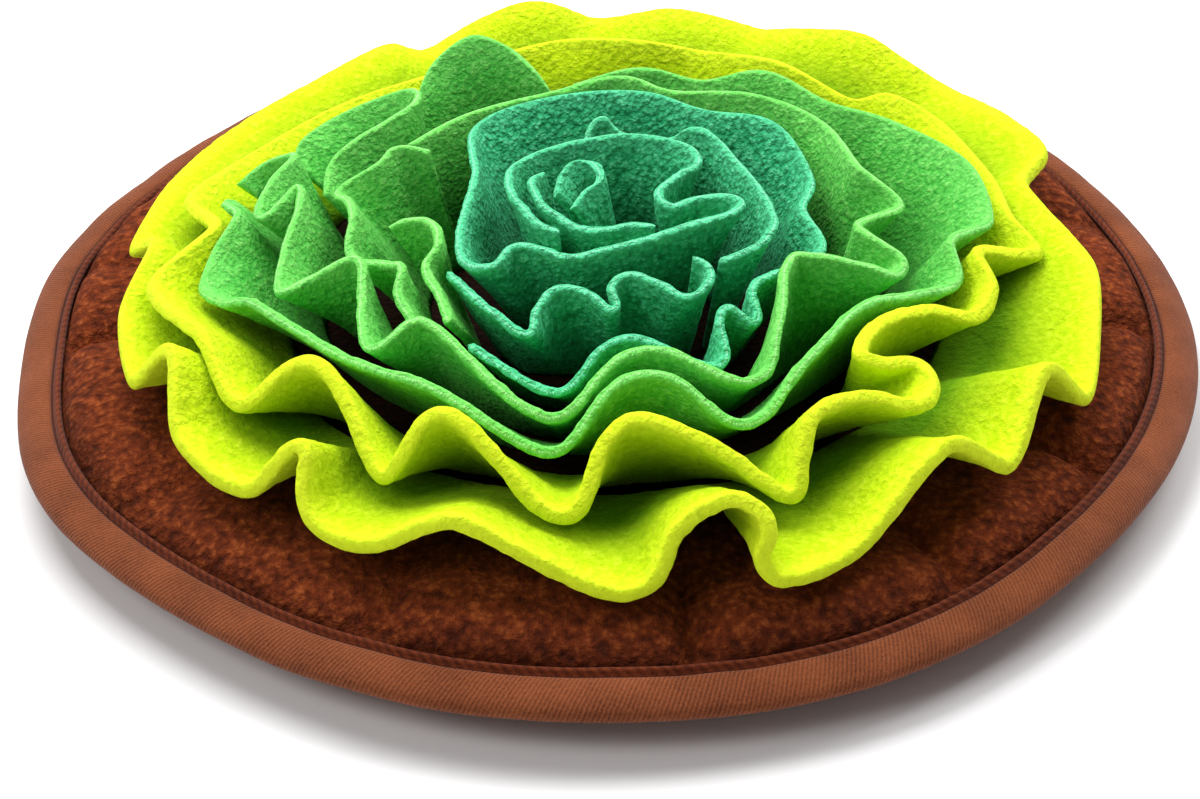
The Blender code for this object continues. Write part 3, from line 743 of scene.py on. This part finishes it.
@dataclass
class Ruffle:
    """One strip of fleece: its free edge follows its bends, and its sewn edge lies on the pad.

    The sewn edge is the smoothed free edge, drawn in to a circle: seat is its radius, and follow is the share
    by which it keeps its own place. The folds die out towards it, and bow lifts the cloth half way.
    """

    name: str
    centre: tuple[float, float]
    cloth: Cloth
    seat: float
    follow: float
    bow: float
    bends: tuple[Bend, ...]
    closed: bool = False
    tapers: bool = False
    blur: float = 22.0
    seed: int = 0
    step_along: float = 0.75
    step_across: float = 1.6
    bend_steps: int = 40
    least_rows: int = 6
    tip_rows: int = 5
    tip_share: float = 0.45
    even_normals: int = 22
    wave_growth: float = 3.0
    open_share: float = 0.12
    open_reach: float = 3.5
    tuft_gain: float = 4.0

    def free_edge(self) -> np.ndarray:
        """The free edge as evenly spaced points on cubics that pass each bend along its tangent."""
        rows = np.array(self.bends, dtype=float)
        angle = np.radians(rows[:, 0])
        across, up = self.centre[0] + rows[:, 1] * np.cos(angle), self.centre[1] + rows[:, 1] * np.sin(angle)
        corner = np.stack([across, up, rows[:, 2]], axis=1)
        if self.closed:
            heading = np.roll(corner, -1, axis=0) - np.roll(corner, 1, axis=0)
        else:
            heading = np.gradient(corner, axis=0)
        heading *= rows[:, 3:4] / np.linalg.norm(heading, axis=1)[:, None]
        t = np.linspace(0.0, 1.0, self.bend_steps, endpoint=False)[None, :, None]
        start, leave = corner[:, None], heading[:, None]
        end, arrive = np.roll(start, -1, axis=0), np.roll(leave, -1, axis=0)
        line = start * (2 * t**3 - 3 * t**2 + 1) + leave * (t**3 - 2 * t**2 + t)
        line += end * (3 * t**2 - 2 * t**3) + arrive * (t**3 - t**2)
        if self.closed:
            line = np.concatenate([line.reshape(-1, 3), corner[:1]])
        else:
            line = np.concatenate([line[:-1].reshape(-1, 3), corner[-1:]])
        place = way_along(line)
        even = np.linspace(0.0, place[-1], round(place[-1] / self.step_along) + 1)
        even = even[:-1] if self.closed else even
        return np.stack([np.interp(even, place, line[:, k]) for k in range(3)], axis=1)

    def middle(self, share: np.ndarray) -> np.ndarray:
        """The cloth's middle surface, from the sewn edge to the free edge.

        Args:
            share: how far across the strip each row lies, from 0 at the seam to 1 at the free edge.

        Returns:
            A grid of points, along the strip and then across it.
        """
        edge = self.free_edge()
        centre = np.array([*self.centre, 0.0])
        seam = smoothed(edge, self.blur, self.closed) - centre
        reach = np.hypot(seam[:, 0], seam[:, 1])
        seam = seam * (self.follow + (1 - self.follow) * self.seat / reach)[:, None] + centre
        seam[:, 2] = PAD_TOP + SEAM_GAP
        fold = edge - smoothed(edge, self.blur * BODY_SHARE, self.closed)
        v = share[None, :, None]
        grid = seam[:, None] + (edge - seam)[:, None] * v + fold[:, None] * (v**FOLD_GROWTH - v)
        grid[..., 2] += (self.bow * 4 * share * (1 - share))[None, :]
        return grid

    def normals(self, grid: np.ndarray) -> np.ndarray:
        """Unit normals of the middle surface, evened out along the strip so that tight folds stay thin.

        Args:
            grid: the middle surface.

        Returns:
            A normal for each of its points.
        """
        before, after = neighbours(grid, self.closed)
        normal = np.cross(after - before, np.gradient(grid, axis=1))
        normal /= np.linalg.norm(normal, axis=2)[..., None]
        for _ in range(self.even_normals):
            before, after = neighbours(normal, self.closed)
            normal = 0.5 * normal + 0.25 * (before + after)
        return normal / np.linalg.norm(normal, axis=2)[..., None]

    def width(self) -> float:
        """Mean straight way from the sewn edge to the free edge."""
        ends = self.middle(np.array([0.0, 1.0]))
        return float(np.mean(np.linalg.norm(np.diff(ends, axis=1), axis=2)))

    def shares(self) -> np.ndarray:
        """Rows across the strip: even up to the rounded edge, and closer and closer in it."""
        width = self.width()
        tip = self.tip_share * self.cloth.thickness / width
        body = np.linspace(0.0, 1.0 - tip, max(round(width / self.step_across), self.least_rows))
        turn = np.sin(np.linspace(0.0, math.pi / 2, self.tip_rows + 1)[1:])
        return np.concatenate([body, 1.0 - tip + tip * turn])

    def half_thickness(self, share: np.ndarray, count: int) -> np.ndarray:
        """Half the cloth's thickness: full in the body, falling to nothing in the rounding of a cut edge.

        Args:
            share: how far across each row lies.
            count: how many columns the strip has.

        Returns:
            Half the thickness at each column and row.
        """
        tip = 1.0 - share[-self.tip_rows - 1]
        across = (1.0 - rise(share, 1.0 - tip, tip) ** EDGE_SQUARE) ** (1 / EDGE_SQUARE)
        along = np.ones(count)
        if not self.closed:
            room = np.arange(count) * self.step_along / (0.5 * self.cloth.thickness)
            near = np.minimum(room, room[::-1])
            along = (1.0 - np.clip(1.0 - near, 0.0, 1.0) ** EDGE_SQUARE) ** (1 / EDGE_SQUARE)
        return 0.5 * self.cloth.thickness * np.outer(along, across)

    def build(self) -> Object:
        """Builds the strip: a face on either side of the middle surface, joined at both edges."""
        share = self.shares()
        grid = self.middle(share)
        count, rows = grid.shape[:2]
        normal = self.normals(grid)
        waves = layered(grid, RUFFLE_WAVES, self.seed) * rise(share * self.wave_growth, 0.0, 1.0)[None, :]
        grid = grid + normal * waves[..., None]
        half = self.half_thickness(share, count)
        opening = self.opening(share)
        full = np.clip(half / (0.5 * self.cloth.thickness), 0.0, 1.0)
        tuft = full * (self.tuft_gain * opening - (self.tuft_gain - 1))
        half = half * self.cloth.slim * opening
        front = grid + normal * (half + tuft * layered(grid, RUFFLE_TUFTS, self.seed))[..., None]
        back = grid - normal * (half + tuft * layered(grid, RUFFLE_TUFTS, self.seed + 7))[..., None]
        for face in (front, back):
            face[..., 2] = np.maximum(face[..., 2], PAD_TOP + SEAM_GAP)
            face[:, 0, 2] = PAD_TOP + SEAM_GAP
        front[:, -1] = grid[:, -1]
        loop = np.concatenate([front, back[:, -2::-1]], axis=1)
        size = 2 * rows - 1
        index = np.arange(count * size).reshape(count, size)
        if not self.closed:
            for end in (0, -1):
                index[end, rows:] = index[end, rows - 2 :: -1]
                loop[end, rows:] = loop[end, rows - 2 :: -1]
        column, row = grid_quads(count, size, self.closed, True)
        quads = index[column % count, row % size]
        around = np.linalg.norm(np.diff(loop, axis=1, append=loop[:, :1]), axis=2).mean(axis=0)
        place = np.concatenate([[0.0], np.cumsum(around)])
        place -= place[rows - 1]
        uv = np.stack([column * self.step_along, place[row]], axis=-1)
        return mesh_piece(self.name, loop.reshape(-1, 3), quads[:, ::-1], uv[:, ::-1])

    def opening(self, share: np.ndarray) -> np.ndarray:
        """How much thicker the open nap makes the cloth: an eighth at its cut edge, and nothing 8 mm off."""
        away = (1.0 - share) * self.width()
        return (1.0 + self.open_share * np.exp(-((away / self.open_reach) ** 2)))[None, :]

    def flat_size(self) -> tuple[float, float]:
        """Width and length in metres before gathering: the mean way across, and that along the free edge."""
        ends = self.middle(np.linspace(0.0, 1.0, 9))
        width = np.linalg.norm(np.diff(ends, axis=1), axis=2).sum(axis=1).mean()
        edge = self.free_edge()
        length = np.linalg.norm(np.diff(edge, axis=0), axis=1).sum()
        return float(width) * MM, float(length) * MM

    def dress(self, material: Material) -> Object:
        """Builds the strip, gives it its fleece, attaches it to the root and hides the model's ruffle.

        Args:
            material: the fleece it is cut from.

        Returns:
            The finished piece.
        """
        piece = self.build()
        piece.data.materials.append(material)
        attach(piece, "root")
        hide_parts(self.name.replace("_", "_ruffle_"))
        width, length = self.flat_size()
        faces = len(piece.data.polygons)
        LOG.info("%s: strip of %.0f x %.0f mm, %d faces", self.name, length / MM, width / MM, faces)
        return piece


def rim_offsets(angles: np.ndarray) -> tuple[np.ndarray, np.ndarray]:
    """How far the rim stands out and up: a bell around each row of RIM_BUMPS, added up.

    Args:
        angles: bearings in radians.

    Returns:
        How far out and how far up at each of them.
    """
    rows = np.array(RIM_BUMPS, dtype=float)
    apart = np.degrees(angles)[:, None] - rows[None, :, 0]
    apart = (apart + 180.0) % 360.0 - 180.0
    weight = np.exp(-0.5 * (apart / BUMP_WIDTH) ** 2)
    out, lift = (weight @ rows[:, 1:3]).T
    return out, lift


def turned(profile: np.ndarray, segments: int) -> np.ndarray:
    """Turns a profile of (reach, height) around Z, moved by the rim's bumps, all but what lies on the floor.

    Args:
        profile: points of the profile.
        segments: steps around.

    Returns:
        A grid of points, around and then along the profile.
    """
    angles = np.linspace(0.0, 2 * math.pi, segments, endpoint=False)
    out, lift = rim_offsets(angles)
    share = rise(profile[:, 0], BUMPS_BEGIN, BUMPS_FULL - BUMPS_BEGIN)
    radius = profile[None, :, 0] + out[:, None] * share
    height = profile[None, :, 1] + lift[:, None] * share * rise(profile[None, :, 1], 0.0, LIFT_FULL)
    return np.stack([radius * np.cos(angles)[:, None], radius * np.sin(angles)[:, None], height], axis=-1)


def even_profile(points: Sequence[tuple[float, float]], step: float) -> np.ndarray:
    """A smooth profile, resampled evenly.

    Args:
        points: where it passes.
        step: how far apart its points are, about.

    Returns:
        The points of a spline with the tangents of each point's two neighbours.
    """
    rows = np.array(points, dtype=float)
    rows = np.concatenate([2 * rows[:1] - rows[1:2], rows, 2 * rows[-1:] - rows[-2:-1]])
    t = np.linspace(0.0, 1.0, SPLINE_STEPS, endpoint=False)[None, :, None]
    a, b, c, d = (rows[k : len(rows) - 3 + k, None] for k in range(4))
    line = 0.5 * (2 * b + (c - a) * t + (2 * a - 5 * b + 4 * c - d) * t**2 + (3 * b - a - 3 * c + d) * t**3)
    line = np.concatenate([line.reshape(-1, 2), rows[-2:-1]])
    place = way_along(line)
    even = np.linspace(0.0, place[-1], round(place[-1] / step) + 1)
    return np.stack([np.interp(even, place, line[:, k]) for k in range(2)], axis=1)


@dataclass
class Pad:
    """The filled pad of brown fleece: flat below, puffed and creased behind the binding."""

    segments: int = 640
    step: float = 1.6
    puff_up: float = 0.7
    puff_out: float = 0.6
    pucker: float = 0.8
    pucker_size: float = 9.0
    pucker_reach: float = 137.0
    pucker_width: float = 7.0
    rim: float = 145.0
    seed: int = 11

    def profile(self) -> np.ndarray:
        """Reach and height from well inside the underside, round the lip, to well inside the top."""
        under, over = even_profile(PAD_UNDER, self.step), even_profile(PAD_OVER, self.step)
        return np.maximum(np.concatenate([under, np.array(PAD_LIP), over]), 0.0)

    def build(self) -> Object:
        """Builds the pad: the turned profile, with puffs, creases and puckers, and level under the ruffles."""
        profile = self.profile()
        grid = turned(profile, self.segments)
        angles = np.linspace(0.0, 2 * math.pi, self.segments, endpoint=False)
        reach, height = profile[:, 0], profile[:, 1]
        top = rise(height, 14.0, 4.0)
        open_part = top * rise(reach, 100.0, 14.0)
        side = rise(height, 0.0, 4.0) * rise(9.0 - height, 0.0, 4.0)
        swell = layered(grid, PAD_PUFFS, self.seed)
        pulled = self.creases(angles)[:, None] * rise(reach, 96.0, 30.0)[None, :]
        around = np.stack([np.cos(angles), np.sin(angles), np.zeros(self.segments)], axis=1) * self.rim
        near = np.exp(-(((self.pucker_reach - reach) / self.pucker_width) ** 2))
        ripple = lumps(around, self.pucker_size, self.seed + 3)[:, None] * near[None, :]
        grid[..., 2] += (swell * self.puff_up - pulled) * open_part + self.pucker * ripple * top
        out = swell * side * self.puff_out
        grid[..., 0] += out * np.cos(angles)[:, None]
        grid[..., 1] += out * np.sin(angles)[:, None]
        count, rows = grid.shape[:2]
        points = np.concatenate([grid.reshape(-1, 3), [[0, 0, 0], [0, 0, PAD_OVER[-1][1]]]])
        column, row = grid_quads(count, rows, True, False)
        quads = (column % count) * rows + row
        here = np.arange(count) * rows
        there = np.roll(here, -1)
        middle = np.full(count, count * rows)
        under = np.stack([middle, there, here, middle], axis=1)
        over = np.stack([middle + 1, here + rows - 1, there + rows - 1, middle + 1], axis=1)
        return mesh_piece("pad", points, np.concatenate([quads, under, over]))

    def creases(self, angles: np.ndarray) -> np.ndarray:
        """How deep the creases are: a sharp dip at each row of CREASES, of which the deepest counts.

        Args:
            angles: bearings in radians.

        Returns:
            The depth at each of them.
        """
        rows = np.array(CREASES, dtype=float)
        apart = np.abs((np.degrees(angles)[:, None] - rows[None, :, 0] + 180.0) % 360.0 - 180.0)
        return (rows[None, :, 2] * np.exp(-apart / rows[None, :, 1])).max(axis=1)

    def dress(self) -> Object:
        """Builds the pad, gives it its fleece, attaches it to the root and hides the model's pad."""
        piece = self.build()
        piece.data.materials.append(BROWN_FLEECE.make())
        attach(piece, "root")
        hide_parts("base_pad")
        LOG.info("pad: %d faces", len(piece.data.polygons))
        return piece


@dataclass
class Binding:
    """Twill tape folded over the pad's lip and sewn through just inside it."""

    segments: int = 720
    fine_step: float = 0.4
    coarse_step: float = 1.0
    wave: float = 0.7
    middle_reach: float = 147.0
    seed: int = 31

    def build(self) -> Object:
        """Builds the tape: the turned section, with the slight waves of a tape sewn round a curve."""
        inside = even_profile(TAPE_INSIDE, self.coarse_step)
        profile = np.concatenate([even_profile(TAPE_OUTSIDE, self.fine_step), inside])
        grid = turned(profile, self.segments)
        grid[..., 2] += layered(grid, TAPE_WAVES, self.seed) * self.wave
        count, rows = grid.shape[:2]
        column, row = grid_quads(count, rows, True, True)
        quads = (column % count) * rows + row % rows
        place = way_along(np.concatenate([profile, profile[:1]]))
        place -= place[np.argmin(np.linalg.norm(profile - np.array(STITCHING), axis=1))]
        uv = np.stack([column * (2 * math.pi * self.middle_reach / count), place[row]], axis=-1)
        return mesh_piece("tape", grid.reshape(-1, 3), quads, uv)

    def dress(self) -> Object:
        """Builds the tape, gives it its twill, attaches it to the root and hides the model's binding."""
        piece = self.build()
        piece.data.materials.append(BROWN_TWILL.make())
        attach(piece, "root")
        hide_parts("binding")
        LOG.info("tape: %d faces", len(piece.data.polygons))
        return piece


def ruffles() -> list[Ruffle]:
    """Every ruffle of the mat, from the outside in. The short leaves narrow towards the seam."""
    heart, rose = (4, -12), (7, -15)
    strips = [
        Ruffle("lime_lower", (0, -4), LIME, 83, 0.1, 1.0, LIME_LOWER, closed=True),
        Ruffle("lime_upper", (0, -5), LIME, 70, 0.3, 0.0, LIME_UPPER, closed=True),
        Ruffle("green_lower", (3, -10), GREEN, 46, 0.55, 0.5, GREEN_LOWER),
        Ruffle("green_upper", heart, GREEN, 34, 0.64, 0.5, GREEN_UPPER),
        Ruffle("green_rear", heart, GREEN, 44, 0.5, 1.0, GREEN_REAR, tapers=True),
        Ruffle("green_leaf", heart, GREEN, 48, 0.5, 1.0, GREEN_LEAF, tapers=True),
        Ruffle("green_left", heart, GREEN, 33, 0.5, 0.0, GREEN_LEFT, tapers=True),
        Ruffle("green_inner", heart, GREEN, 29, 0.5, 0.0, GREEN_INNER, tapers=True),
        Ruffle("teal_outer", rose, TEAL, 0, 0.75, 0.0, TEAL_OUTER),
        Ruffle("teal_front", rose, TEAL, 0, 0.75, 0.0, TEAL_FRONT, tapers=True),
        Ruffle("teal_right", rose, TEAL, 0, 0.76, 0.0, TEAL_RIGHT, tapers=True),
        Ruffle("teal_inner", rose, TEAL, 0, 0.58, 0.0, TEAL_INNER, tapers=True),
        Ruffle("teal_core", (12, -17), TEAL, 0, 0.55, 7.0, TEAL_CORE, tapers=True, blur=4),
    ]
    for place, strip in enumerate(strips):
        strip.seed = SEED_STEP * place
    return strips


class Softbox(NamedTuple):
    """A square soft light: its name, where it stands in metres, its side in metres and its power in watts."""

    name: str
    place: tuple[float, float, float]
    size: float
    power: float


SOFTBOXES = (
    Softbox("key", (-0.2, 0.33, 0.78), 0.6, 9.0),
    Softbox("second", (0.6, 0.4, 0.9), 0.6, 7.0),
    Softbox("front", (-0.65, -0.5, 0.95), 0.5, 4.2),
)


@dataclass
class Studio:
    """Pale floor, soft lights and the camera. The floor's half side and the near clip are in metres."""

    target: tuple[float, float, float] = (-1.2, -41.55, 12.0)
    elevation: float = 36.01
    distance: float = 487.65
    roll: float = -1.21
    lens: float = 60.0
    sensor: float = 36.0
    near_clip: float = 0.01
    floor_half: float = 3.0
    floor_colour: str = "#F6F6F6"
    surround: float = 0.23

    def camera(self) -> None:
        """Places the camera: out from the target along its elevation, turned by a small roll."""
        up_angle, tilt = math.radians(self.elevation), math.radians(self.roll)
        back = np.array([0.0, -math.cos(up_angle), math.sin(up_angle)])
        right, up = np.array([1.0, 0.0, 0.0]), np.array([0.0, math.sin(up_angle), math.cos(up_angle)])
        data = bpy.data.cameras.new("photo_camera")
        data.lens = self.lens
        data.sensor_width = self.sensor
        data.sensor_fit = "HORIZONTAL"
        data.clip_start = self.near_clip
        camera = bpy.data.objects.new("photo_camera", data)
        bpy.context.scene.collection.objects.link(camera)
        turn = np.eye(4)
        turn[:3, 0] = math.cos(tilt) * right + math.sin(tilt) * up
        turn[:3, 1] = -math.sin(tilt) * right + math.cos(tilt) * up
        turn[:3, 2] = back
        turn[:3, 3] = (np.array(self.target) + back * self.distance) * MM
        camera.matrix_world = Matrix(turn.tolist())
        bpy.context.scene.camera = camera

    def light(self, box: Softbox) -> None:
        """Adds a soft light that faces the middle of the mat.

        Args:
            box: which light.
        """
        data = bpy.data.lights.new(box.name, "AREA")
        data.size = box.size
        data.energy = box.power
        light = bpy.data.objects.new(box.name, data)
        bpy.context.scene.collection.objects.link(light)
        stand = Matrix.Translation(box.place)
        light.matrix_world = stand @ stand.to_translation().to_track_quat("Z", "Y").to_matrix().to_4x4()

    def floor(self) -> None:
        """Lays a square of pale matt board under the mat."""
        half = self.floor_half
        mesh = bpy.data.meshes.new("floor")
        corners = [(-half, -half, 0), (half, -half, 0), (half, half, 0), (-half, half, 0)]
        mesh.from_pydata(corners, [], [(0, 1, 2, 3)])
        floor = bpy.data.objects.new("floor", mesh)
        bpy.context.scene.collection.objects.link(floor)
        paint = bpy.data.materials.new("pale_matt_board")
        paint.use_nodes = True
        settings = {"Base Color": linear(self.floor_colour), "Roughness": 0.9, "Specular IOR Level": 0.1}
        set_up(paint.node_tree, paint.node_tree.nodes["Principled BSDF"], settings, {})
        mesh.materials.append(paint)

    def build(self) -> None:
        """Builds the floor, the lights, the surrounding light and the camera."""
        self.floor()
        for box in SOFTBOXES:
            self.light(box)
        world = bpy.data.worlds.new("studio")
        world.use_nodes = True
        settings = {"Color": linear("#FFFFFF"), "Strength": self.surround}
        set_up(world.node_tree, world.node_tree.nodes["Background"], settings, {})
        bpy.context.scene.world = world
        bpy.context.scene.view_settings.view_transform = "Standard"
        self.camera()


def main() -> None:
    logging.basicConfig(level=logging.INFO, format="%(name)s: %(message)s")
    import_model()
    Pad().dress()
    Binding().dress()
    fleeces = {finish.name: finish.make() for finish in (LIME_FLEECE, GREEN_FLEECE, TEAL_FLEECE)}
    for ruffle in ruffles():
        ruffle.dress(fleeces[ruffle.cloth.finish.name])
    Studio().build()


if __name__ == "__main__":
    main()
